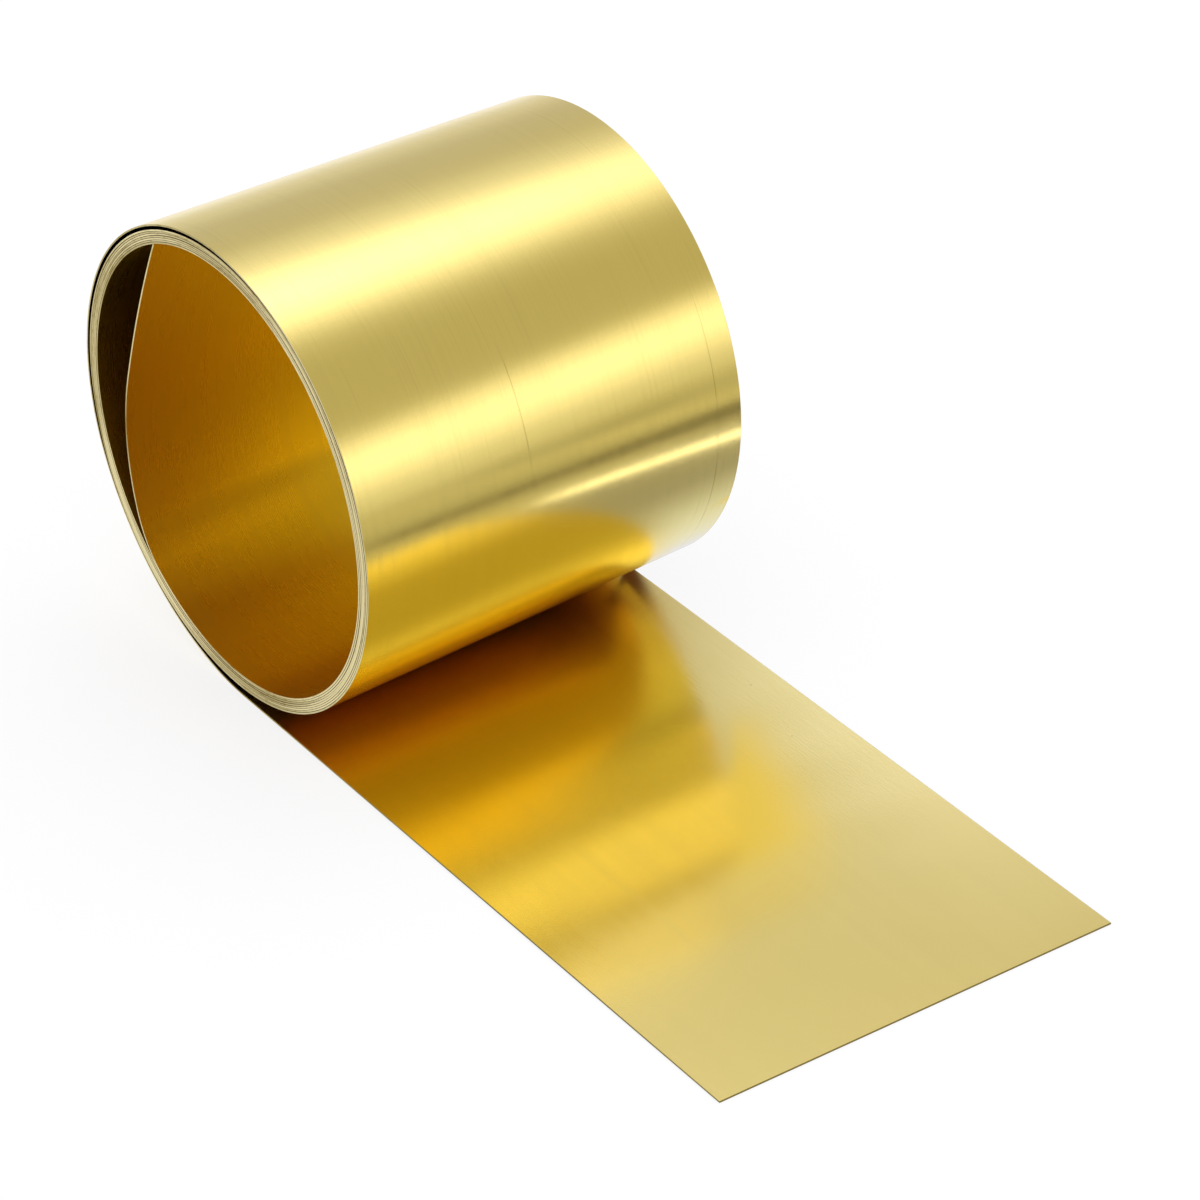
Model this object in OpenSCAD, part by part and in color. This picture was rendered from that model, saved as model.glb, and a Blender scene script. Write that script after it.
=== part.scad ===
/* [Sheet] */
// Width of the sheet, which is also the length of the coil along its axis
sheet_w = 100; // [40:5:160]
// Thickness of the sheet
sheet_t = 0.4; // [0.3:0.05:0.5]

/* [Coil] */
// Width across the coil, seen from its end
coil_w = 112; // [100:2:130]
// Number of turns in the wall of the coil
turns = 8; // [4:1:10]
// Clear gap between one turn and the next
turn_gap = 0.14; // [0.1:0.02:0.2]

/* [Outer end] */
// Distance from the axis of the coil to the line where the outer end meets the floor
touch_x = 3; // [1:0.5:6]
// Distance from the axis of the coil to the cut edge of the outer end
tail_x = 180; // [120:0.5:240]

/* [Inner end] */
// Radius of the tight bend where the inner end leaves the wall of the bore
bend_r = 22; // [18:1:26]
// Radius of the bend that brings the inner end upright
upright_r = 62; // [54:1:70]
// Radius of the last, nearly flat bend
flat_r = 300; // [200:20:400]
// Gap between the tip of the inner end and the wall that it leans on
tip_gap = 0.1; // [0.1:0.1:1]

/* [Hidden] */
$fn = 180;

// Every arc of the sheet starts and ends on one of these directions from its centre. The slanting
// ones are sides of 3-4-5 and 7-24-25 triangles, so that the places where two arcs join are round
// numbers and the arcs meet without a step.
east = [1, 0];
north = [0, 1];
west = [-1, 0];
south = [0, -1];
leave_coil = [-0.8, -0.6];
leave_wall = [-0.6, -0.8];
low_west = [-0.96, -0.28];
high_west = [-0.96, 0.28];

// A wedge this long cuts an arc out of any of the rings
reach = 1000;

pitch = sheet_t + turn_gap;
// The lower half of each turn has its centre this far to one side, which makes each turn larger
// than the one inside it
side_step = pitch / 2;

// Outer radius of the upper half of each turn
function upper_r(n) = coil_w / 2 - (turns - n) * pitch;
function lower_r(n) = upper_r(n) + side_step;
upper_c = [0, 0];
lower_c = [side_step, 0];

// An arc of the sheet, anticlockwise, is [centre, outer radius, direction of its start, of its end]
coil_arcs = [
  [lower_c, lower_r(0), leave_wall, south],
  [lower_c, lower_r(0), south, east],
  for (n = [1 : turns - 1]) each [
    [upper_c, upper_r(n), east, north],
    [upper_c, upper_r(n), north, west],
    [lower_c, lower_r(n), west, south],
    [lower_c, lower_r(n), south, east]
  ],
  [upper_c, upper_r(turns), east, north],
  [upper_c, upper_r(turns), north, west],
  [lower_c, lower_r(turns), west, leave_coil]
];

// The outer end leaves the coil on a wider arc, which meets the floor at touch_x
lead_r = lower_r(turns) + (touch_x - side_step) / -leave_coil.x;
lead_c = lower_c + (lower_r(turns) - lead_r) * leave_coil;
floor_y = lead_c.y - lead_r;

// The inner end leaves the wall on a tight arc and straightens towards its tip
bend_c = lower_c + (lower_r(0) - bend_r) * leave_wall;
upright_c = bend_c + (bend_r - upright_r) * low_west;
flat_c = upright_c + (upright_r - flat_r) * high_west;

// Its tip is where the last arc nears the inside of turn 1, at the crossing of the two circles
wall_r = upper_r(1) - sheet_t - tip_gap;
to_wall = norm(upper_c - flat_c);
tip_turn = acos((to_wall ^ 2 + flat_r ^ 2 - wall_r ^ 2) / (2 * to_wall * flat_r));
tip_angle = atan2(upper_c.y - flat_c.y, upper_c.x - flat_c.x) - tip_turn;

end_arcs = [
  [lead_c, lead_r, leave_coil, south],
  [bend_c, bend_r, low_west, leave_wall],
  [upright_c, upright_r, high_west, low_west],
  [flat_c, flat_r, [cos(tip_angle), sin(tip_angle)], high_west]
];

module arc_band(centre, outer_r, start, end) {
  translate(centre)
    intersection() {
      difference() {
        circle(outer_r);
        circle(outer_r - sheet_t);
      }
      polygon([[0, 0], reach * start, reach * end]);
    }
}

module tail_band() {
  translate([touch_x, floor_y])
    square([tail_x - touch_x, sheet_t]);
}

module brass_sheet() {
  color("#c9ad5c")
    translate([(coil_w / 2 - tail_x) / 2, 0, -floor_y])
      rotate([90, 0, 0])
        linear_extrude(sheet_w, center = true) {
          for (arc = concat(coil_arcs, end_arcs)) arc_band(arc[0], arc[1], arc[2], arc[3]);
          tail_band();
        }
}

brass_sheet();
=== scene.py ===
"""Roll of brass sheet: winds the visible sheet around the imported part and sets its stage."""

import math

import bmesh
import bpy
from mathutils import Matrix, Vector


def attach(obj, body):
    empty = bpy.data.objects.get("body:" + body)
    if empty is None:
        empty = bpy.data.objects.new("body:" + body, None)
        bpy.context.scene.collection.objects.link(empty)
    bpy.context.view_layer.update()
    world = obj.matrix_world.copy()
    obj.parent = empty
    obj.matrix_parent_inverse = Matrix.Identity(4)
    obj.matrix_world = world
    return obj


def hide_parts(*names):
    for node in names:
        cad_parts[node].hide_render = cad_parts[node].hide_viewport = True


bl_info = {
    "name": "Roll of brass sheet",
    "version": (1, 0, 0),
    "blender": (4, 5, 0),
    "location": "3D View > Sidebar > Brass",
    "description": "Winds a brass sheet into a coil with its outer end laid flat, and sets its stage",
    "category": "Add Mesh",
}

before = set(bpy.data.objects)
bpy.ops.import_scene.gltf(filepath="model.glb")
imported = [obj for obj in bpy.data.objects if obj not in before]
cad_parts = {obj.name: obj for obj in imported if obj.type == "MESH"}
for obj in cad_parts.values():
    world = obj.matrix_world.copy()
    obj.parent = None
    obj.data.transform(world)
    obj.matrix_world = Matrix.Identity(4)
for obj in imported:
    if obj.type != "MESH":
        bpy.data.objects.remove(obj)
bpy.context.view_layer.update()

SHEET_NODE = "brass_sheet"
STRIP_NAME = "brass_sheet_strip"
# Two attributes of the sheet. The first says how far along the sheet a point is, where it is across
# it, and how many turns in. The second says how much painted shade the face gets there.
SHEET_LAY = "sheet_lay"
SHEET_SHADE = "sheet_shade"
MM = 0.001
TURN = 2 * math.pi

# Directions from the centre of an arc, as (x, z). Each slanting one is from a 3-4-5 or a 7-24-25
# triangle, as in the part's source.
EAST = Vector((1.0, 0.0))
WEST = Vector((-1.0, 0.0))
SOUTH = Vector((0.0, -1.0))
LEAVE_COIL = Vector((-0.8, -0.6))
LEAVE_WALL = Vector((-0.6, -0.8))
LOW_WEST = Vector((-0.96, -0.28))
HIGH_WEST = Vector((-0.96, 0.28))


class SheetSizes(bpy.types.PropertyGroup):
    """Sizes of the sheet and of the way it is wound."""

    width: bpy.props.FloatProperty(
        name="Sheet width", description="Width of the sheet, edge to edge",
        default=99.7 * MM, min=0.0, subtype="DISTANCE", unit="LENGTH",
    )
    thickness: bpy.props.FloatProperty(
        name="Sheet thickness", description="Thickness of the sheet",
        default=0.4 * MM, min=0.0, subtype="DISTANCE", unit="LENGTH",
    )
    coil_width: bpy.props.FloatProperty(
        name="Coil width", description="Width across the coil, seen from its end",
        default=111.99 * MM, min=0.0, subtype="DISTANCE", unit="LENGTH",
    )
    turns: bpy.props.IntProperty(
        name="Turns", description="Number of turns in the wall of the coil", default=8, min=2,
    )
    turn_gap: bpy.props.FloatProperty(
        name="Turn gap", description="Clear gap between one turn and the next, as drawn",
        default=0.14 * MM, min=0.0, subtype="DISTANCE", unit="LENGTH",
    )
    touch_x: bpy.props.FloatProperty(
        name="Touch line",
        description="Distance from the coil's axis to where the outer end meets the floor",
        default=3 * MM, subtype="DISTANCE", unit="LENGTH",
    )
    tail_x: bpy.props.FloatProperty(
        name="Cut edge", description="Distance from the coil's axis to the cut edge of the outer end",
        default=179.98 * MM, subtype="DISTANCE", unit="LENGTH",
    )
    bend_r: bpy.props.FloatProperty(
        name="Inner bend", description="Radius of the tight bend where the inner end leaves the wall",
        default=22 * MM, min=0.0, subtype="DISTANCE", unit="LENGTH",
    )
    upright_r: bpy.props.FloatProperty(
        name="Upright bend", description="Radius of the bend that brings the inner end upright",
        default=62 * MM, min=0.0, subtype="DISTANCE", unit="LENGTH",
    )
    flat_r: bpy.props.FloatProperty(
        name="Flat bend", description="Radius of the last, nearly flat bend of the inner end",
        default=300 * MM, min=0.0, subtype="DISTANCE", unit="LENGTH",
    )
    tip_gap: bpy.props.FloatProperty(
        name="Tip gap",
        description="Gap between the tip of the inner end and the wall that it leans on",
        default=0.1 * MM, min=0.0, subtype="DISTANCE", unit="LENGTH",
    )
    squeeze: bpy.props.FloatProperty(
        name="Squeeze", description="How much closer each inner turn lies to the next than it is drawn",
        default=0.07 * MM, min=0.0, subtype="DISTANCE", unit="LENGTH",
    )
    wander: bpy.props.FloatProperty(
        name="Wander", description="How far a turn strays sideways from the one inside it",
        default=0.13 * MM, min=0.0, subtype="DISTANCE", unit="LENGTH",
    )
    far_taper: bpy.props.FloatProperty(
        name="Far taper", description="Share by which the far end of the coil is wound tighter",
        default=0.03, min=0.0, max=0.1,
    )
    far_lift: bpy.props.FloatProperty(
        name="Far lift", description="How much higher the axis is at the far end of the coil",
        default=1.0 * MM, min=0.0, subtype="DISTANCE", unit="LENGTH",
    )
    cut_skew: bpy.props.FloatProperty(
        name="Cut skew",
        description="How far the near corner of the cut edge falls short of the far one",
        default=4.0 * MM, min=0.0, subtype="DISTANCE", unit="LENGTH",
    )
    tail_wave: bpy.props.FloatProperty(
        name="Tail wave", description="Height of the shallow waves that coiling left in the flat end",
        default=0.12 * MM, min=0.0, subtype="DISTANCE", unit="LENGTH",
    )
    wave_length: bpy.props.FloatProperty(
        name="Wave length", description="Distance between two of those waves",
        default=26 * MM, min=1 * MM, subtype="DISTANCE", unit="LENGTH",
    )


class BrassFinish(bpy.types.PropertyGroup):
    """Colours and surface of the brass."""

    face: bpy.props.FloatVectorProperty(
        name="Face", description="Colour of the rolled faces",
        default=(0.90, 0.72, 0.22), size=3, min=0.0, max=1.0, subtype="COLOR",
    )
    warm: bpy.props.FloatVectorProperty(
        name="Warm patches", description="Colour where the faces have begun to darken",
        default=(0.87, 0.66, 0.18), size=3, min=0.0, max=1.0, subtype="COLOR",
    )
    # Painted reflection colour: brass seen in the brass takes these deeper colours, deeper on low faces
    deep: bpy.props.FloatVectorProperty(
        name="Deep", description="Colour of low faces where the brass is seen in the brass",
        default=(0.94, 0.735, 0.11), size=3, min=0.0, max=1.0, subtype="COLOR",
    )
    deep_high: bpy.props.FloatVectorProperty(
        name="Deep, high up", description="Colour of high faces where the brass is seen in the brass",
        default=(0.96, 0.79, 0.24), size=3, min=0.0, max=1.0, subtype="COLOR",
    )
    # Painted shade inside the bore: the innermost turn is darker and more orange
    bore: bpy.props.FloatVectorProperty(
        name="Bore", description="Colour of the innermost turn, which has darkened most",
        default=(0.755, 0.52, 0.03), size=3, min=0.0, max=1.0, subtype="COLOR",
    )
    cut: bpy.props.FloatVectorProperty(
        name="Cut edge", description="Colour of the sheared edges",
        default=(0.80, 0.70, 0.38), size=3, min=0.0, max=1.0, subtype="COLOR",
    )
    roughness: bpy.props.FloatProperty(
        name="Roughness", description="Roughness of the rolled faces", default=0.19, min=0.0, max=1.0,
    )
    dull: bpy.props.FloatProperty(
        name="Dulled", description="How much rougher the bore is, which was never wiped",
        default=0.09, min=0.0, max=1.0,
    )
    # Painted shade: the dark colour of faces between turns, under the coil and on the flat end near it
    painted_shade_colour: bpy.props.FloatVectorProperty(
        name="Tarnish",
        description="Colour of the faces that lie against each other, where oil stays",
        default=(0.25, 0.07, 0.012), size=3, min=0.0, max=1.0, subtype="COLOR",
    )
    # Cut edge marks: the sheared edges' own dark marks, and their painted shade
    cut_shade: bpy.props.FloatVectorProperty(
        name="Cut edge marks", description="Colour of the sheared edges where they are dark",
        default=(0.33, 0.25, 0.06), size=3, min=0.0, max=1.0, subtype="COLOR",
    )
    grain_depth: bpy.props.FloatProperty(
        name="Grain depth", description="Depth of the rolling grain",
        default=0.004 * MM, min=0.0, subtype="DISTANCE", unit="LENGTH",
    )


class StageLook(bpy.types.PropertyGroup):
    """Floor, light and camera."""

    floor: bpy.props.FloatVectorProperty(
        name="Floor", description="Colour of the floor",
        default=(0.9, 0.9, 0.9), size=3, min=0.0, max=1.0, subtype="COLOR",
    )
    backdrop: bpy.props.FloatVectorProperty(
        name="Backdrop",
        description="Colour of the floor around the object, and of the light from all round",
        default=(1.0, 1.0, 1.0), size=3, min=0.0, max=1.0, subtype="COLOR",
    )
    horizon: bpy.props.FloatVectorProperty(
        name="Horizon", description="Colour of the backdrop and of the floor far off",
        default=(0.77, 0.77, 0.78), size=3, min=0.0, max=1.0, subtype="COLOR",
    )
    cool_side: bpy.props.FloatVectorProperty(
        name="Cool side", description="Colour of the room above the coil's side of the backdrop",
        default=(0.60, 0.61, 0.72), size=3, min=0.0, max=1.0, subtype="COLOR",
    )
    warm_side: bpy.props.FloatVectorProperty(
        name="Warm side",
        description="Colour of the room above the flat end's side of the backdrop",
        default=(0.54, 0.52, 0.43), size=3, min=0.0, max=1.0, subtype="COLOR",
    )
    # Colours of glowing cards that only the brass shows: painted reflections
    far_card: bpy.props.FloatVectorProperty(
        name="Far card", description="Colour of the wide grey card that lies under all the others",
        default=(0.58, 0.575, 0.50), size=3, min=0.0, max=1.0, subtype="COLOR",
    )
    near_card: bpy.props.FloatVectorProperty(
        name="Near card", description="Colour of the grey card that lies nearest to the coil",
        default=(0.39, 0.40, 0.47), size=3, min=0.0, max=1.0, subtype="COLOR",
    )
    # A painted reflection: the glowing gold card puts a gold reflection on the flat end
    gold_card: bpy.props.FloatVectorProperty(
        name="Gold card",
        description="Colour of the larger upright card beyond the far end of the coil",
        default=(0.90, 0.76, 0.25), size=3, min=0.0, max=1.0, subtype="COLOR",
    )
    glint: bpy.props.FloatProperty(
        name="Glint", description="Brightness of the narrow bright strip on the cards",
        default=4.8, min=0.0,
    )
    rear: bpy.props.FloatProperty(
        name="Rear", description="Brightness of the small soft light behind the coil, at its middle",
        default=0.9, min=0.0,
    )
    halo: bpy.props.FloatProperty(
        name="Ceiling light",
        description="Brightness of the wide soft light above that one, at its middle",
        default=0.55, min=0.0,
    )
    fill: bpy.props.FloatProperty(
        name="Fill", description="Strength of the light from all round on matt surfaces",
        default=1.0, min=0.0,
    )
    overhead: bpy.props.FloatProperty(
        name="Overhead", description="Brightness of the soft light overhead, at its middle",
        default=1.2, min=0.0,
    )
    side: bpy.props.FloatProperty(
        name="Side", description="Brightness of the soft light beside the cut edge, at its middle",
        default=1.1, min=0.0,
    )


class Value:
    """An output socket that takes part in Python arithmetic by adding Math nodes."""

    def __init__(self, shading, socket):
        self.shading = shading
        self.socket = socket

    def _math(self, operation, *inputs):
        node = self.shading.node("ShaderNodeMath", {"operation": operation}, dict(enumerate(inputs)))
        return Value(self.shading, node.outputs[0])

    def __add__(self, other):
        return self._math("ADD", self, other)

    def __radd__(self, other):
        return self._math("ADD", other, self)

    def __sub__(self, other):
        return self._math("SUBTRACT", self, other)

    def __rsub__(self, other):
        return self._math("SUBTRACT", other, self)

    def __mul__(self, other):
        return self._math("MULTIPLY", self, other)

    def __rmul__(self, other):
        return self._math("MULTIPLY", other, self)

    def __abs__(self):
        return self._math("ABSOLUTE", self)

    def above(self, low, high):
        """0 where the value is under low, 1 where it is over high, and smooth between."""
        node = self.shading.node(
            "ShaderNodeMapRange",
            {"interpolation_type": "SMOOTHSTEP"},
            {"Value": self, "From Min": low, "From Max": high},
        )
        return Value(self.shading, node.outputs["Result"])


class Shading:
    """Adds nodes to one node tree."""

    def __init__(self, tree):
        self.tree = tree
        tree.nodes.clear()

    def node(self, kind, settings=None, inputs=None):
        """One node: its settings first, then the values or links of its sockets."""
        made = self.tree.nodes.new(kind)
        for name, setting in (settings or {}).items():
            setattr(made, name, setting)
        for key, given in (inputs or {}).items():
            socket = made.inputs[key]
            if isinstance(given, Value):
                self.tree.links.new(given.socket, socket)
            elif isinstance(given, bpy.types.NodeSocket):
                self.tree.links.new(given, socket)
            else:
                socket.default_value = given
        return made

    def parts(self, vector):
        """The three parts of a vector socket."""
        made = self.node("ShaderNodeSeparateXYZ", {}, {0: vector})
        return [Value(self, socket) for socket in made.outputs]

    def noise(self, where, cells, detail, roughness):
        """Noise between 0 and 1 at a vector socket, with so many cells to a metre."""
        made = self.node(
            "ShaderNodeTexNoise", {},
            {"Vector": where, "Scale": cells, "Detail": detail, "Roughness": roughness},
        )
        return Value(self, made.outputs["Fac"])

    def blend(self, factor, first, second):
        """A colour between two colours."""
        made = self.node(
            "ShaderNodeMix", {"data_type": "RGBA", "clamp_factor": True},
            {0: factor, 6: first, 7: second},
        )
        return made.outputs[2]


def opaque(colour):
    """A colour with its alpha, for a colour socket."""
    return (*colour, 1.0)


# Cells of each pattern to a metre along the sheet, to a metre across it, and to a turn of the coil
GRAIN_CELLS = (25.0, 2600.0, 1.0)
CROSS_CELLS = (1500.0, 160.0, 1.0)
STREAK_CELLS = (4.0, 420.0, 1.0)
GLITTER_CELLS = (520.0, 2100.0, 1.0)
SCRATCH_CELLS = (9.0, 1400.0, 3.0)
TURN_TONE_CELLS = (14.0, 0.0, 2.3)
FLECK_CELLS = (420.0, 3000.0, 5.0)
# Cells to a metre of the patterns that are as long as they are wide
CLOUD_CELLS = 28.0
WARM_CELLS = 9.0
SPECK_CELLS = 160.0
SPECK_SIZE_CELLS = 60.0
# Radius of the largest specks and the width of their rims, in cells
SPECK_RADIUS = 0.045
SPECK_RIM = 0.03
# Fine ring-shaped scratches, where the coil was banded: the place across, and how many turns
# before the outer end leaves the coil a ring starts and ends
RINGS = ((43.4 * MM, 0.74, 0.50), (-6.4 * MM, 0.60, 0.495))
RING_STRAY = 0.6 * MM
# Distances from the middle of a ring between which it fades, and turns in which its ends do
RING_RIM = (0.06 * MM, 0.20 * MM)
RING_START = (0.0, 0.05)
RING_END = (-0.02, 0.015)
# Turns past the line where the sheet leaves the coil, between which it comes to lie flat
LAID_OUT = (0.10, 0.14)
# Turns in, between which the dull innermost turn gives way to the one wound over it
INMOST = (1.24, 1.30)
# Distances from the sheet's edge at which the look of the cut face begins and is full
CUT_START = 0.10 * MM
CUT_FULL = 0.02 * MM
# Heights between which the low part of the roll gives way to the high part
LOW_TO_HIGH = (26 * MM, 50 * MM)
# Places along the scene's X between which painted light and shade on the cut edges change: where the
# coil's left side ends, high up and low down, and where its right side starts
HIGH_LEFT_END = (-112 * MM, -92 * MM)
LOW_LEFT_END = (-96 * MM, -72 * MM)
RIGHT_START = (-46 * MM, -24 * MM)


class BrassShading(Shading):
    """Adds the nodes of the brass, which read where on the wound sheet a point is."""

    def __init__(self, tree, left_wind):
        super().__init__(tree)
        self.lay = self.read(SHEET_LAY, "Vector")
        self.run, self.across, self.wind = self.parts(self.lay)
        # How much painted shade the face gets, where it lies against or near another part of the sheet
        self.painted_shade = Value(self, self.read(SHEET_SHADE, "Fac"))
        self.beside, _ahead, self.height = self.parts(self.node("ShaderNodeTexCoord").outputs["Object"])
        self.low = 1.0 - self.height.above(*LOW_TO_HIGH)
        self.left_wind = left_wind
        self.laid_out = self.past(0.0, LAID_OUT)

    def read(self, attribute, output):
        """An output of one of the sheet's own attributes."""
        settings = {"attribute_type": "GEOMETRY", "attribute_name": attribute}
        return self.node("ShaderNodeAttribute", settings).outputs[output]

    def lay_noise(self, cells, detail, roughness):
        """Noise that follows the sheet, with its number of cells set axis by axis."""
        made = self.node("ShaderNodeVectorMath", {"operation": "MULTIPLY"}, {0: self.lay, 1: cells})
        return self.noise(made.outputs[0], 1.0, detail, roughness)

    def specks(self):
        """Small round specks of several sizes."""
        inputs = {"Vector": self.lay, "Scale": SPECK_CELLS}
        near = self.node("ShaderNodeTexVoronoi", {"feature": "F1"}, inputs)
        size = self.noise(self.lay, SPECK_SIZE_CELLS, 1.0, 0.5).above(0.5, 0.8) * SPECK_RADIUS
        return 1.0 - (Value(self, near.outputs["Distance"]) - size).above(0.0, SPECK_RIM)

    def past(self, turns, fade):
        """1 for the sheet that is so many turns past the line where it leaves the coil."""
        line = self.left_wind + turns
        return self.wind.above(line + fade[0], line + fade[1])

    def rings(self, stray, gaps):
        """The ring-shaped scratches: 1 on them."""
        ring = 0.0
        for place, first, last in RINGS:
            aside = abs(self.across - place + stray * RING_STRAY)
            reached = self.past(-first, RING_START) * (1.0 - self.past(-last, RING_END))
            ring = ring + (1.0 - aside.above(*RING_RIM)) * reached
        return ring * gaps

    def cut_colour(self, look, cut_end):
        """The sheared edges. On the coil each turn's has its own tone; flat ones get painted shade."""
        turn_tone = self.lay_noise(TURN_TONE_CELLS, 2.0, 0.6).above(0.42, 0.66)
        fleck = self.lay_noise(FLECK_CELLS, 2.0, 0.6).above(0.5, 0.7)
        shaded_high_left = (1.0 - self.beside.above(*HIGH_LEFT_END)) * (1.0 - self.low)
        lit_low_left = (1.0 - self.beside.above(*LOW_LEFT_END)) * self.low
        right = self.beside.above(*RIGHT_START) * (1.0 - self.laid_out)
        # Painted shade high on the left and on the flat end's edges, painted light low on the left and
        # on the coil's right side
        dark = (
            turn_tone * 0.75 + fleck * 0.3 + shaded_high_left * 0.35 + (self.laid_out + cut_end) * 0.9
            - lit_low_left * 0.55 - right * 0.4
        )
        return self.blend(dark, opaque(look.cut), opaque(look.cut_shade))

    def face_colour(self, look, inmost):
        """The rolled faces without their marks: warm in patches, with painted reflection colour and
        painted shade.
        """
        in_brass = self.node("ShaderNodeLightPath").outputs["Is Glossy Ray"]
        warm = self.noise(self.lay, WARM_CELLS, 2.0, 0.5).above(0.42, 0.72)
        clean = self.blend(warm * 0.5, opaque(look.face), opaque(look.warm))
        # Painted reflection colour for brass seen in the brass, deeper on low faces
        deep = self.blend(self.low, opaque(look.deep_high), opaque(look.deep))
        # The innermost turn takes the bore colour, painted shade inside the bore
        face = self.blend(inmost, self.blend(in_brass, clean, deep), opaque(look.bore))
        # Painted shade where the face is hidden between turns or lies near another part of the sheet
        return self.blend(self.painted_shade, face, opaque(look.painted_shade_colour))


def make_brass(look, half_width, left_wind, whole_run):
    """Rolled brass whose grain runs along the sheet, with sheared edges."""
    material = bpy.data.materials.new("rolled_brass")
    material.use_nodes = True
    shade = BrassShading(material.node_tree, left_wind)
    inmost = 1.0 - shade.wind.above(*INMOST)
    edge = abs(shade.across).above(half_width - CUT_START, half_width - CUT_FULL)
    cut_end = shade.run.above(whole_run - CUT_START, whole_run - CUT_FULL)

    grain = shade.lay_noise(GRAIN_CELLS, 3.0, 0.65)
    cross = shade.lay_noise(CROSS_CELLS, 2.0, 0.6)
    streak = shade.lay_noise(STREAK_CELLS, 2.0, 0.5)
    glitter = shade.lay_noise(GLITTER_CELLS, 1.0, 0.5)
    scratch = shade.lay_noise(SCRATCH_CELLS, 0.0, 0.5).above(0.77, 0.82)
    cloud = shade.noise(shade.lay, CLOUD_CELLS, 3.0, 0.55)
    ring = shade.rings(streak - 0.5, cloud.above(0.35, 0.55))

    brushed = grain.above(0.48, 0.80) * 0.14 + streak.above(0.48, 0.80) * 0.06
    marks = scratch * 0.06 + shade.specks() * 0.3 + ring * 0.5 + brushed * (1.0 - shade.laid_out * 0.8)
    mark_colour = opaque([0.55 * part for part in look.warm])
    marked = shade.blend(marks, shade.face_colour(look, inmost), mark_colour)
    colour = shade.blend(edge + cut_end, marked, shade.cut_colour(look, cut_end))
    roughness = (
        look.roughness + (grain - 0.5) * 0.06 + (streak - 0.5) * 0.05 + (cloud - 0.5) * 0.05
        + scratch * 0.03 + edge * 0.2 + inmost * look.dull
    )
    relief = grain + glitter * 1.8 + cross * 0.5 + streak * 0.4 - scratch * 0.15 - ring * 0.8
    bump = shade.node(
        "ShaderNodeBump", {},
        {"Strength": 1.0, "Distance": look.grain_depth, "Height": relief * (1.0 - inmost * 0.8)},
    )
    surface = shade.node(
        "ShaderNodeBsdfPrincipled", {},
        {
            "Base Color": colour, "Metallic": 1.0, "Roughness": roughness,
            "Normal": bump.outputs["Normal"],
        },
    )
    shade.node("ShaderNodeOutputMaterial", {}, {"Surface": surface.outputs[0]})
    return material


def turn_radius(sizes, turn):
    """Outer radius of the upper half of a turn."""
    return sizes.coil_width / 2 - (sizes.turns - turn) * (sizes.thickness + sizes.turn_gap)


def plan_arcs(sizes):
    """The arcs of the sheet from its inner tip to the floor, and the height of the floor.

    An arc is (centre, outer radius, start direction, end direction), anticlockwise, in (x, z) from the
    coil's axis.
    """
    half_pitch = (sizes.thickness + sizes.turn_gap) / 2
    upper = Vector((0.0, 0.0))
    lower = Vector((half_pitch, 0.0))

    first_lower = turn_radius(sizes, 0) + half_pitch
    bend = lower + (first_lower - sizes.bend_r) * LEAVE_WALL
    upright = bend + (sizes.bend_r - sizes.upright_r) * LOW_WEST
    flat = upright + (sizes.upright_r - sizes.flat_r) * HIGH_WEST
    wall_r = turn_radius(sizes, 1) - sizes.thickness - sizes.tip_gap
    to_wall = upper - flat
    reach = to_wall.length
    tip_turn = math.acos((reach**2 + sizes.flat_r**2 - wall_r**2) / (2 * reach * sizes.flat_r))
    tip_angle = math.atan2(to_wall.y, to_wall.x) - tip_turn
    tip = Vector((math.cos(tip_angle), math.sin(tip_angle)))

    arcs = [
        (flat, sizes.flat_r, tip, HIGH_WEST),
        (upright, sizes.upright_r, HIGH_WEST, LOW_WEST),
        (bend, sizes.bend_r, LOW_WEST, LEAVE_WALL),
        (lower, first_lower, LEAVE_WALL, EAST),
    ]
    for turn in range(1, sizes.turns):
        radius = turn_radius(sizes, turn)
        arcs.append((upper, radius, EAST, WEST))
        arcs.append((lower, radius + half_pitch, WEST, EAST))
    last = turn_radius(sizes, sizes.turns)
    arcs.append((upper, last, EAST, WEST))
    arcs.append((lower, last + half_pitch, WEST, LEAVE_COIL))
    lead_r = last + half_pitch + (sizes.touch_x - half_pitch) / -LEAVE_COIL.x
    lead = lower + (last + half_pitch - lead_r) * LEAVE_COIL
    arcs.append((lead, lead_r, LEAVE_COIL, SOUTH))
    return arcs, lead.y - lead_r


# The sheet lies so far above the floor, to stay inside the solid's box
FLOOR_CLEAR = 0.0005 * MM
# Steps of the three arcs of the sprung inner end, and how far one step of the others turns
STEPS_OF_FLAP = (16, 14, 12)
DEGREES_A_STEP = 2.5
TAIL_STEPS = 70
CUTS_ACROSS = 9
EDGE_BEVEL = 0.07 * MM


def sweep_between(start, end):
    """Angle from one direction to another, anticlockwise."""
    return (math.atan2(end.y, end.x) - math.atan2(start.y, start.x)) % TURN


def start_section(bm, arc, sizes):
    """The cross-section of the sheet at its inner tip, as a closed loop of edges."""
    centre, radius, start, _end = arc
    corners = []
    for depth, side in ((0.0, -1), (0.0, 1), (sizes.thickness, 1), (sizes.thickness, -1)):
        point = centre + (radius - depth) * start
        corners.append(bm.verts.new((point.x, side * sizes.width / 2, point.y)))
    for number, corner in enumerate(corners):
        bm.edges.new((corner, corners[(number + 1) % len(corners)]))
    bmesh.ops.bevel(
        bm, geom=corners, offset=EDGE_BEVEL, offset_type="OFFSET", segments=2, profile=0.5,
        affect="VERTICES", material=-1,
    )
    across = [edge for edge in bm.edges if edge.calc_length() > sizes.width / 2]
    bmesh.ops.subdivide_edges(bm, edges=across, cuts=CUTS_ACROSS)
    return bm.edges[:]


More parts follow.
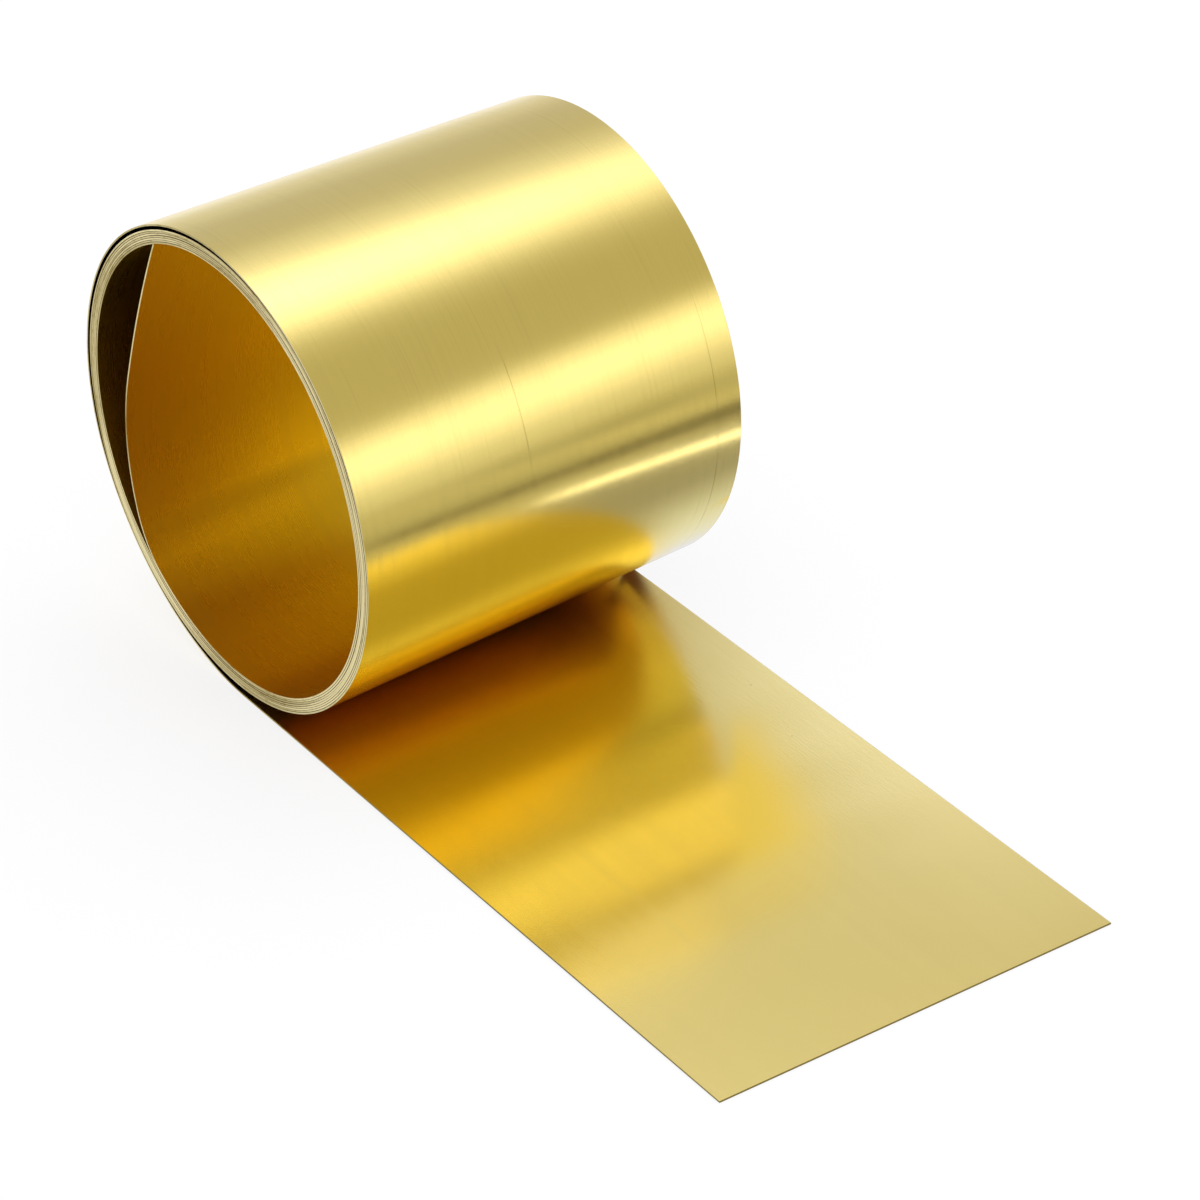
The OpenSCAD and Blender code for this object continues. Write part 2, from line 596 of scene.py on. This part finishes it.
def note_stations(first, stations, layer):
    """Writes its place on every vertex: how far along the sheet, where across it, how many turns in."""
    here = set(first)
    noted = set(first)
    for run, wind in stations:
        for vert in here:
            vert[layer] = (run, vert.co.y, wind)
        here = {edge.other_vert(vert) for vert in here for edge in vert.link_edges} - noted
        noted |= here
    if here or len(noted) != len(first) * len(stations):
        raise RuntimeError("the sheet has sections that weren't noted")


def wind_sheet(bm, layer, sizes):
    """Carries the section round every arc of the coil and out along the floor.

    Gives the height of the floor, how many turns in the wall of the coil starts, and the whole run.
    """
    arcs, floor_y = plan_arcs(sizes)
    section = start_section(bm, arcs[0], sizes)
    first_loop = section
    first_verts = bm.verts[:]
    stations = [(0.0, 0.0)]
    for number, (centre, radius, start, end) in enumerate(arcs):
        sweep = sweep_between(start, end)
        if number < len(STEPS_OF_FLAP):
            steps = STEPS_OF_FLAP[number]
        else:
            steps = round(math.degrees(sweep) / DEGREES_A_STEP)
        spun = bmesh.ops.spin(
            bm, geom=section, cent=(centre.x, 0.0, centre.y), axis=(0.0, -1.0, 0.0),
            angle=sweep, steps=steps, use_duplicate=False, use_merge=False,
        )
        section = spun["geom_last"]
        if number == len(STEPS_OF_FLAP):
            wall_wind = stations[-1][1]
        for _step in range(steps):
            run, wind = stations[-1]
            along = (radius - sizes.thickness / 2) * sweep / steps
            stations.append((run + along, wind + sweep / steps / TURN))
    tail_step = (sizes.tail_x - sizes.touch_x) / TAIL_STEPS
    spun = bmesh.ops.spin(
        bm, geom=section, cent=(0.0, 0.0, 0.0), axis=(0.0, -1.0, 0.0), dvec=(tail_step, 0.0, 0.0),
        angle=0.0, steps=TAIL_STEPS, use_duplicate=False, use_merge=False,
    )
    for _step in range(TAIL_STEPS):
        run, wind = stations[-1]
        stations.append((run + tail_step, wind))
    last_loop = [item for item in spun["geom_last"] if isinstance(item, bmesh.types.BMEdge)]
    note_stations(first_verts, stations, layer)
    for loop in (first_loop, last_loop):
        bmesh.ops.edgeloop_fill(bm, edges=loop)
    return floor_y, wall_wind, stations[-1][0]


def smooth_step(low, high, value):
    """0 under low, 1 over high, and smooth between."""
    share = min(max((value - low) / (high - low), 0.0), 1.0)
    return share * share * (3 - 2 * share)


# Gap between the outermost turn and the one inside it: where they lie close, how much more there is
# where it is widest, the angle of that place, and how far round from there it closes
CLOSE_GAP = 0.12 * MM
GAP_MORE = 0.64 * MM
WIDEST_AT = math.radians(135)
GAP_CLOSES = (math.radians(20), math.radians(85))
# How much painted shade the sheet gets near another part of itself, when 1 is for turns that touch:
# the back of the inner end and the wall behind it, the underside of the coil, and the flat end near
# the coil and near its own far edge
FLAP_BACK = 0.24
BEHIND_FLAP = 0.22
UNDERSIDE = 0.42
NEAR_COIL = 0.12
NEAR_EDGE = 0.60
# Where that darkness starts or ends: turns in, for the wall behind the inner end, turns past the
# line where the outer end leaves the coil, for the underside, and for the flat end distances out
# along it and across it
FLAP_COVERS = (0.93, 1.0)
UNDERSIDE_ENDS = (-0.80, -0.69)
COIL_SHADE_ENDS = (26 * MM, 68 * MM)
EDGE_SHADE_ENDS = (18 * MM, 34 * MM)
EDGE_SHADE_INNER = (26 * MM, 36 * MM)
EDGE_SHADE_OUTER = (44 * MM, 47 * MM)
# Waves of the wander: share, waves to a turn, and phase
STRAYS = ((0.5, 0.83, 1.1), (0.3, 1.71, 0.4), (0.2, 3.3, 0.0))
# Shares of the flat end's length between which its waves rise and die away and its cut starts to
# slant, and shares from its middle line out in which the waves fade
WAVES_RISE = (0.0, 0.15)
WAVES_END = (0.6, 0.9)
SLANT_STARTS = (0.5, 1.0)
WAVES_FADE = (0.45, 1.0)
# How far a crest strays along the flat end over its width, in wave lengths
CREST_STRAY = 0.12


def outer_gap(angle):
    """Gap between the outermost turn and the one inside it: widest at the upper left."""
    from_widest = abs((angle - WIDEST_AT + math.pi) % TURN - math.pi)
    return CLOSE_GAP + GAP_MORE * (1 - smooth_step(*GAP_CLOSES, from_widest))


def leaving_wind(sizes, wall_wind):
    """How many turns in the outer end leaves the coil."""
    return wall_wind + sizes.turns - sweep_between(LEAVE_COIL, LEAVE_WALL) / TURN


def flat_end_painted_shade(out, across):
    """Painted shade on the flat end, so far out from where it meets the floor."""
    on_edge = smooth_step(*EDGE_SHADE_INNER, across) * (1 - smooth_step(*EDGE_SHADE_OUTER, across))
    near_edge = on_edge * (1 - smooth_step(*EDGE_SHADE_ENDS, out))
    return NEAR_COIL * (1 - smooth_step(*COIL_SHADE_ENDS, out)) + NEAR_EDGE * near_edge


def coil_painted_shade(outside, wind, left_wind, wall_wind):
    """Painted shade on the coil: 0 for a face in the open, up to 1 for one that lies against another
    turn.
    """
    if outside and wind < wall_wind:
        return FLAP_BACK
    if outside:
        left = wind - left_wind
        covered = 1 - smooth_step(-1.01, -1.0, left)
        return max(covered, UNDERSIDE * (1 - smooth_step(*UNDERSIDE_ENDS, left)))
    behind_flap = BEHIND_FLAP * smooth_step(*FLAP_COVERS, wind)
    return max(behind_flap, smooth_step(0.98, 1.02, wind - wall_wind))


def settle_turn(radius, angle, wind, left_wind, wall_wind, sizes):
    """Radius at which a point of the coil lies, once its turns are as tight as the real ones."""
    on_wall = smooth_step(-0.1, 0.02, wind - wall_wind)
    under_outer = 1 - smooth_step(-1.02, -0.85, wind - left_wind)
    opened = (outer_gap(angle) - sizes.turn_gap) * under_outer
    turns_inside = max(left_wind - 1.5 - wind, 0.0)
    return radius - (opened - sizes.squeeze * turns_inside) * on_wall


def settle_flat_end(x, z, out, far, sizes):
    """Place of a point of the flat end, with its shallow waves and its cut a little out of square."""
    share = out / (sizes.tail_x - sizes.touch_x)
    middle = 1 - smooth_step(*WAVES_FADE, abs(2 * far - 1))
    swing = math.cos(TURN * (out / sizes.wave_length + CREST_STRAY * math.sin(4 * far)))
    lift = sizes.tail_wave * (0.5 - 0.5 * middle * swing)
    z += lift * smooth_step(*WAVES_RISE, share) * (1 - smooth_step(*WAVES_END, share))
    x -= sizes.cut_skew * (1 - far) * smooth_step(*SLANT_STARTS, share)
    return x, z


def settle(bm, layer, shade, sizes, floor_y, wall_wind, whole_run):
    """Moves the wound sheet from its drawn arcs to where the sprung sheet lies."""
    left_wind = leaving_wind(sizes, wall_wind)
    touch_wind = left_wind + sweep_between(LEAVE_COIL, SOUTH) / TURN
    tail_start = whole_run - (sizes.tail_x - sizes.touch_x)
    for vert in bm.verts:
        run, across, wind = vert[layer]
        x, y, z = vert.co
        out = run - tail_start
        # Painted shade where the sheet lies against or near another part of itself
        if out > 0:
            vert[shade] = flat_end_painted_shade(out, across)
        else:
            outside = vert.normal.x * x + vert.normal.z * z > 0
            vert[shade] = coil_painted_shade(outside, wind, left_wind, wall_wind)

        angle = math.atan2(z, x)
        radius = settle_turn(math.hypot(x, z), angle, wind, left_wind, wall_wind, sizes)
        x = radius * math.cos(angle)
        z = radius * math.sin(angle)

        # Each turn strays sideways, but the tip of the inner end and the flat end don't
        in_coil = smooth_step(0.0, 0.35, wind) * (1 - smooth_step(left_wind - 0.1, touch_wind, wind))
        stray = sum(share * math.sin(TURN * waves * wind + phase) for share, waves, phase in STRAYS)
        y += sizes.wander * stray * in_coil

        # The far end is wound tighter and lies higher, as far as the coil holds the sheet
        far = across / sizes.width + 0.5
        held = 1 - smooth_step(left_wind - 0.02, touch_wind, wind)
        shrink = 1 - sizes.far_taper * far * held
        x *= shrink
        z = z * shrink + sizes.far_lift * far * held
        if out > 0:
            x, z = settle_flat_end(x, z, out, far, sizes)
        vert.co = (x, y, z)
    shift = (sizes.coil_width / 2 - sizes.tail_x) / 2
    bmesh.ops.translate(bm, verts=bm.verts, vec=(shift, 0.0, FLOOR_CLEAR - floor_y))


SHARP_ANGLE = math.radians(18)


def finish_mesh(bm):
    """The mesh of the wound sheet, smooth but for its sharp edges, once it is known to be closed."""
    for face in bm.faces:
        face.smooth = True
    for edge in bm.edges:
        edge.smooth = edge.calc_face_angle(math.pi) < SHARP_ANGLE
    if any(not edge.is_manifold for edge in bm.edges):
        raise RuntimeError("the wound sheet isn't closed")
    mesh = bpy.data.meshes.new(STRIP_NAME)
    bm.to_mesh(mesh)
    bm.free()
    return mesh


class BRASS_OT_sheet(bpy.types.Operator):
    """Wind the brass sheet from its inner tip to the cut edge of its outer end"""

    bl_idname = "brass.sheet"
    bl_label = "Wind the sheet"

    def execute(self, context):
        sizes = context.scene.brass_sizes
        bm = bmesh.new()
        layer = bm.verts.layers.float_vector.new(SHEET_LAY)
        shade = bm.verts.layers.float.new(SHEET_SHADE)
        floor_y, wall_wind, whole_run = wind_sheet(bm, layer, sizes)
        bmesh.ops.recalc_face_normals(bm, faces=bm.faces)
        bm.normal_update()
        settle(bm, layer, shade, sizes, floor_y, wall_wind, whole_run)
        mesh = finish_mesh(bm)
        left_wind = leaving_wind(sizes, wall_wind)
        brass = make_brass(context.scene.brass_finish, sizes.width / 2, left_wind, whole_run)
        mesh.materials.append(brass)
        piece = bpy.data.objects.new(STRIP_NAME, mesh)
        context.collection.objects.link(piece)
        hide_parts(SHEET_NODE)
        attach(piece, "root")
        return {"FINISHED"}


# The camera of the photograph, solved on the coil's two ends and the edges of the flat end
CAMERA_PLACE = (0.64311, -0.46747, 0.57870)
CAMERA_TURN = math.radians(53.6655)
CAMERA_RISE = math.radians(34.2413)
CAMERA_ROLL = math.radians(-0.3568)
FOCAL_PIXELS = 4476.36
IMAGE_PIXELS = 1200
SENSOR_MM = 36

FLOOR_DROP = 0.06 * MM
FLOOR_RADIUS = 12.0
FLOOR_GLOW = 0.75
# Distances from the object between which the floor takes on the horizon's colour
FLOOR_FADE = (0.35, 1.1)
# Where the room changes, as parts of a direction: going up, from the backdrop to the room above it,
# and going along X, from its cool side to its warm one
BACKDROP_TO_ROOM = (math.sin(math.radians(-2)), math.sin(math.radians(18)))
COOL_TO_WARM = (-0.4, 0.4)
# The cards lie over the floor and under the flat end, each a little above the one before
CARD_DROPS = tuple(drop * MM for drop in (0.054, 0.046, 0.038, 0.030, 0.022, 0.015, 0.008))
# Turns a card upright, with its length along the coil's axis
UPRIGHT = Matrix(((0, 0, 1, 0), (1, 0, 0, 0), (0, 1, 0, 0), (0, 0, 0, 1)))
# Light turns round many times in the bore and where the coil meets the flat end
GLOSSY_BOUNCES = 8

COOL_LIGHT = (0.96, 0.975, 1.25)
BLUE_LIGHT = (0.75, 0.90, 2.0)
# Colours of the glowing strips and cards on the floor, painted reflections that only the brass shows
DULL_GREY = (0.37, 0.36, 0.31)
PALE_GREY = (0.78, 0.77, 0.69)
COOL_WHITE = (0.88, 0.97, 1.28)
DARK_BROWN = (0.10, 0.085, 0.06)
# Colours of the lower upright card: dull gold, and a dark foot that is painted shade low in its
# reflection
DULL_GOLD = (0.53, 0.38, 0.06)
GOLD_FOOT = (0.10, 0.03, 0.002)


def backdrop_rays(shade):
    """1 for the rays that show the background: those of the camera, of gloss and of clear materials."""
    path = shade.node("ShaderNodeLightPath")
    seen = Value(shade, path.outputs["Is Camera Ray"])
    for name in ("Is Glossy Ray", "Is Transmission Ray"):
        seen = seen + Value(shade, path.outputs[name])
    return seen.above(0.0, 1.0)


def make_object(name, bm, surface):
    """An object from its shape; surface adds the nodes of its material and gives the last one."""
    mesh = bpy.data.meshes.new(name)
    bm.to_mesh(mesh)
    bm.free()
    material = bpy.data.materials.new(name)
    material.use_nodes = True
    shade = Shading(material.node_tree)
    shade.node("ShaderNodeOutputMaterial", {}, {"Surface": surface(shade).outputs[0]})
    mesh.materials.append(material)
    made = bpy.data.objects.new(name, mesh)
    bpy.context.collection.objects.link(made)
    return made


def make_floor(look):
    """A wide pale floor that keeps the object's shadow."""
    bm = bmesh.new()
    bmesh.ops.create_circle(bm, cap_ends=True, segments=64, radius=FLOOR_RADIUS)
    bmesh.ops.translate(bm, verts=bm.verts, vec=(0.0, 0.0, -FLOOR_DROP))

    def surface(shade):
        matt = shade.node("ShaderNodeBsdfDiffuse", {}, {"Color": opaque(look.floor)})
        spot = shade.node("ShaderNodeTexCoord").outputs["Object"]
        reach = shade.node("ShaderNodeVectorMath", {"operation": "LENGTH"}, {0: spot}).outputs["Value"]
        far_off = Value(shade, reach).above(*FLOOR_FADE)
        pale = shade.blend(far_off, opaque(look.backdrop), opaque(look.horizon))
        glow = shade.node("ShaderNodeEmission", {}, {"Color": pale, "Strength": 1.0})
        return shade.node(
            "ShaderNodeMixShader", {},
            {0: backdrop_rays(shade) * FLOOR_GLOW, 1: matt.outputs[0], 2: glow.outputs[0]},
        )

    floor = make_object("pale_floor", bm, surface)


def make_world(look):
    """A white backdrop near the horizon, under a dimmer room that is cooler on the coil's side."""
    world = bpy.data.worlds.new("studio")
    bpy.context.scene.world = world
    world.use_nodes = True
    shade = Shading(world.node_tree)
    beside, _ahead, up = shade.parts(shade.node("ShaderNodeTexCoord").outputs["Generated"])
    upper = shade.blend(beside.above(*COOL_TO_WARM), opaque(look.cool_side), opaque(look.warm_side))
    room = shade.blend(up.above(*BACKDROP_TO_ROOM), opaque(look.horizon), upper)
    seen = shade.node("ShaderNodeBackground", {}, {"Color": room, "Strength": 1.0})
    fill = shade.node(
        "ShaderNodeBackground", {}, {"Color": opaque(look.backdrop), "Strength": look.fill},
    )
    mixed = shade.node(
        "ShaderNodeMixShader", {}, {0: backdrop_rays(shade), 1: fill.outputs[0], 2: seen.outputs[0]},
    )
    shade.node("ShaderNodeOutputWorld", {}, {"Surface": mixed.outputs[0]})


def make_soft_light(name, place, aim, size, fade, brightness, colour):
    """A rectangular light that the camera doesn't see.

    It fades towards its edges from fade on, which is given each way as a share of its size.
    """
    lamp = bpy.data.lights.new(name, "AREA")
    lamp.shape = "RECTANGLE"
    lamp.size, lamp.size_y = size
    lamp.energy = math.pi * size[0] * size[1]
    lamp.use_nodes = True
    shade = Shading(lamp.node_tree)
    beside, ahead, _up = shade.parts(shade.node("ShaderNodeNewGeometry").outputs["Parametric"])
    wide = 1.0 - abs(beside - 0.5).above(fade[0], 0.5)
    long = 1.0 - abs(ahead - 0.5).above(fade[1], 0.5)
    glow = shade.node(
        "ShaderNodeEmission", {}, {"Color": opaque(colour), "Strength": wide * long * brightness},
    )
    shade.node("ShaderNodeOutputLight", {}, {"Surface": glow.outputs[0]})
    light = bpy.data.objects.new(name, lamp)
    bpy.context.collection.objects.link(light)
    light.location = place
    light.rotation_euler = (Vector(aim) - Vector(place)).to_track_quat("-Z", "Y").to_euler()
    light.visible_camera = False


def hang_lights(look):
    """The soft lights: overhead, on the ceiling, beside the cut edge and behind the coil."""
    make_soft_light(
        "soft_overhead", place=(-0.21, 0.20, 0.95), aim=(-0.21, 0.20, 0.0), size=(0.85, 1.80),
        fade=(0.0, 0.0), brightness=look.overhead, colour=COOL_LIGHT,
    )
    make_soft_light(
        "soft_ceiling", place=(-0.38, 0.35, 0.96), aim=(-0.38, 0.35, 0.0), size=(1.60, 1.40),
        fade=(0.0, 0.0), brightness=look.halo, colour=COOL_LIGHT,
    )
    make_soft_light(
        "soft_side", place=(1.0, 0.60, 0.43), aim=(0.0, 0.0, 0.43), size=(1.60, 0.76),
        fade=(0.3, 0.0), brightness=look.side, colour=COOL_LIGHT,
    )
    make_soft_light(
        "soft_rear", place=(-0.215, 0.283, 0.228), aim=(-0.215, 0.283, 0.0), size=(0.27, 0.14),
        fade=(0.0, 0.0), brightness=look.rear, colour=BLUE_LIGHT,
    )


def make_card(name, seat, size, mask, colour, brightness=1.0, foot=None):
    """A glowing card that only the brass shows, a painted reflection; mask gives how dense it is at a
    place on it.

    An upright card can have a foot: its lowest height, full height and colour.
    """
    bm = bmesh.new()
    bmesh.ops.create_grid(bm, x_segments=1, y_segments=1, size=0.5)
    bmesh.ops.scale(bm, verts=bm.verts, vec=(*size, 1.0))

    def surface(shade):
        along, height, _off = shade.parts(shade.node("ShaderNodeTexCoord").outputs["Object"])
        paint = opaque(colour)
        if foot:
            low, high, foot_colour = foot
            paint = shade.blend(height.above(low, high), opaque(foot_colour), paint)
        clear = shade.node("ShaderNodeBsdfTransparent")
        glow = shade.node("ShaderNodeEmission", {}, {"Color": paint, "Strength": brightness})
        return shade.node(
            "ShaderNodeMixShader", {},
            {0: mask(along, height), 1: clear.outputs[0], 2: glow.outputs[0]},
        )

    card = make_object(name, bm, surface)
    card.matrix_world = seat
    card.visible_camera = False
    card.visible_diffuse = False
    card.visible_shadow = False


def lay_card(name, start, end, drop, width, soft, colour, brightness=1.0):
    """A strip on the floor, whose rim is soft for so wide."""
    start = Vector((*start, -drop))
    end = Vector((*end, -drop))
    length = (end - start).length
    turn = Matrix.Rotation(math.atan2(end.y - start.y, end.x - start.x), 4, "Z")

    def mask(along, aside):
        ends = 1.0 - abs(along).above(length / 2 - soft, length / 2)
        return ends * (1.0 - abs(aside).above(width / 2 - soft, width / 2))

    seat = Matrix.Translation((start + end) / 2) @ turn
    make_card(name, seat, (length, width), mask, colour, brightness)


def lay_cards(look):
    """The glowing cards on the floor, painted reflections that only the brass shows, from the lowest to
    the highest.
    """
    far, dull, pale, cool, near, dark, bright = CARD_DROPS
    lay_card(
        "far_card", start=(-0.03, 0.02), end=(1.20, 0.02), drop=far, width=1.30, soft=0.050,
        colour=look.far_card,
    )
    lay_card(
        "dull_strip", start=(0.28, 0.23), end=(0.62, 0.34), drop=dull, width=0.10, soft=0.045,
        colour=DULL_GREY,
    )
    lay_card(
        "pale_strip", start=(0.14, 0.167), end=(0.52, 0.225), drop=pale, width=0.05, soft=0.020,
        colour=PALE_GREY,
    )
    lay_card(
        "cool_card", start=(-0.065, 0.087), end=(0.026, 0.087), drop=cool, width=0.08, soft=0.014,
        colour=COOL_WHITE,
    )
    lay_card(
        "near_card", start=(-0.022, 0.02), end=(0.108, 0.02), drop=near, width=0.34, soft=0.048,
        colour=look.near_card,
    )
    lay_card(
        "dark_strip", start=(0.201, 0.045), end=(0.078, 0.185), drop=dark, width=0.072, soft=0.026,
        colour=DARK_BROWN,
    )
    lay_card(
        "bright_strip", start=(0.0870, 0.0605), end=(0.0273, 0.150), drop=bright, width=0.011,
        soft=0.004, colour=COOL_LIGHT, brightness=look.glint,
    )


def stand_card(name, place, size, lean, rim, top, colour, bottom=None, foot=None):
    """An upright glowing card with a soft slanting edge, a painted reflection which the flat end shows.

    That edge fades over rim, and the card over the heights of its top and, where given, bottom.
    """

    def mask(beyond, height):
        density = (1.0 - (beyond - height * lean).above(*rim)) * (1.0 - height.above(*top))
        return density * height.above(*bottom) if bottom else density

    make_card(name, Matrix.Translation(place) @ UPRIGHT, size, mask, colour, foot=foot)


def stand_cards(look):
    """The two upright glowing cards beyond the far end of the coil: painted gold reflections on the
    flat end.
    """
    stand_card(
        "gold_card", place=(-0.011, 0.0755, 0.060), size=(0.049, 0.078), lean=0.57,
        rim=(-10 * MM, 8 * MM), top=(0.0, 32 * MM), colour=look.gold_card,
        bottom=(-38 * MM, -30 * MM),
    )
    stand_card(
        "low_gold_card", place=(-0.052, 0.061, 0.0205), size=(0.022, 0.040), lean=0.44,
        rim=(-0.7 * MM, 2.3 * MM), top=(14 * MM, 20 * MM), colour=DULL_GOLD,
        foot=(-11.0 * MM, -0.5 * MM, GOLD_FOOT),
    )


def make_camera():
    """The photograph's camera."""
    camera = bpy.data.cameras.new("photo_camera")
    camera.sensor_width = SENSOR_MM
    camera.lens = FOCAL_PIXELS / IMAGE_PIXELS * SENSOR_MM
    camera.clip_start = 0.01
    camera.clip_end = 100.0
    seat = bpy.data.objects.new("photo_camera", camera)
    bpy.context.collection.objects.link(seat)
    turn = Matrix.Rotation(CAMERA_TURN, 4, "Z")
    tip = Matrix.Rotation(math.pi / 2 - CAMERA_RISE, 4, "X")
    roll = Matrix.Rotation(CAMERA_ROLL, 4, "Z")
    seat.matrix_world = Matrix.Translation(CAMERA_PLACE) @ turn @ tip @ roll
    bpy.context.scene.camera = seat


class BRASS_OT_stage(bpy.types.Operator):
    """Lay the pale floor and set the soft light and the photograph's camera"""

    bl_idname = "brass.stage"
    bl_label = "Set the stage"

    def execute(self, context):
        look = context.scene.brass_stage
        context.scene.view_settings.view_transform = "Standard"
        context.scene.cycles.glossy_bounces = GLOSSY_BOUNCES
        make_floor(look)
        make_world(look)
        hang_lights(look)
        lay_cards(look)
        stand_cards(look)
        make_camera()
        return {"FINISHED"}


class BRASS_PT_panel(bpy.types.Panel):
    """Sizes, finish and stage of the roll"""

    bl_idname = "BRASS_PT_panel"
    bl_label = "Roll of brass sheet"
    bl_space_type = "VIEW_3D"
    bl_region_type = "UI"
    bl_category = "Brass"

    def draw(self, context):
        for group in (context.scene.brass_sizes, context.scene.brass_finish, context.scene.brass_stage):
            box = self.layout.box()
            for name in group.__annotations__:
                box.prop(group, name)
        for operator in (BRASS_OT_sheet, BRASS_OT_stage):
            self.layout.operator(operator.bl_idname)


CLASSES = (SheetSizes, BrassFinish, StageLook, BRASS_OT_sheet, BRASS_OT_stage, BRASS_PT_panel)
GROUPS = {"brass_sizes": SheetSizes, "brass_finish": BrassFinish, "brass_stage": StageLook}


def register():
    """Adds the classes and their settings to Blender."""
    for item in CLASSES:
        bpy.utils.register_class(item)
    for name, group in GROUPS.items():
        setattr(bpy.types.Scene, name, bpy.props.PointerProperty(type=group))


def unregister():
    """Takes the classes and their settings out again."""
    for name in GROUPS:
        delattr(bpy.types.Scene, name)
    for item in reversed(CLASSES):
        bpy.utils.unregister_class(item)


def main():
    """Makes the piece and the stage."""
    register()
    bpy.ops.brass.sheet()
    bpy.ops.brass.stage()


if __name__ == "__main__":
    main()
